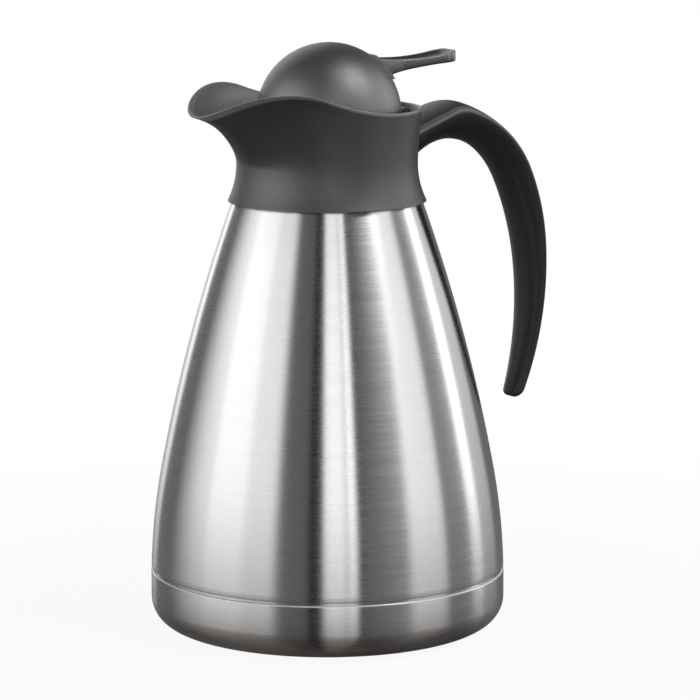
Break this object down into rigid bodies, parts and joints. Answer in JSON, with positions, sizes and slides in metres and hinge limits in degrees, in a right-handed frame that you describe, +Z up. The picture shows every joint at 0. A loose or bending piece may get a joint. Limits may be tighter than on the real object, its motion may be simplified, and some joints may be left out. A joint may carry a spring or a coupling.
{
  "type": "insulated carafe",
  "caption": "Double-walled steel serving carafe with an open handle, a broad pouring collar and a ball-shaped lid that flips up on a thumb lever.",
  "frame": {"origin": "middle of the foot, on the flask's axis, in the plane that it stands on", "axes": "+Z up along the flask's axis, +X towards the handle, -X towards the spout"},
  "size_m": [0.1567, 0.1326, 0.2187],
  "materials": {
    "body_steel": "brushed round the axis",
    "base_steel": "brushed round the axis",
    "liner_steel": "drawn",
    "inner_steel": "drawn",
    "solder": "dull",
    "getter_metal": "dull",
    "collar_plastic": "fine texture",
    "lid_plastic": "fine texture",
    "lever_plastic": "satin",
    "handle_plastic": "satin",
    "tray_plastic": "satin",
    "nut_plastic": "satin",
    "stopper_plastic": "satin",
    "plate_plastic": "satin",
    "foam": "open cell",
    "foot_rubber": "matt",
    "seal_rubber": "matt",
    "seal_silicone": "translucent white",
    "screw_steel": "turned",
    "pin_steel": "ground"
  },
  "bodies": {
    "flask": {"outer_shell": "body_steel", "base_cup": "base_steel", "foot_pad": "foot_rubber", "inner_flask": "liner_steel", "vacuum_bottom": "inner_steel", "evacuation_seal": "solder", "getter": "getter_metal", "collar": "collar_plastic", "collar_gasket": "seal_rubber", "neck_nut": "nut_plastic", "mouth_seal": "seal_silicone", "pouring_tray": "tray_plastic", "handle": "handle_plastic", "handle_screws": "screw_steel"},
    "stopper_body": {"stopper": "stopper_plastic", "neck_seal": "seal_silicone", "hinge_pin": "pin_steel"},
    "lid": {"lid_dome": "lid_plastic", "lid_plate": "plate_plastic", "plug_seal": "seal_silicone", "lid_insulation": "foam", "lid_screw": "screw_steel", "thumb_lever": "lever_plastic", "lever_screw": "screw_steel"}
  },
  "joints": [
    {"name": "stopper_lift", "type": "slide", "parent": "flask", "child": "stopper_body", "axis": [0, 0, 1], "range_m": [0, 0.045]},
    {"name": "lid_flip", "type": "hinge", "parent": "stopper_body", "child": "lid", "pos_m": [0.0286, 0, 0.19181], "axis": [0, 1, 0], "range_deg": [0, 32]}
  ]
}
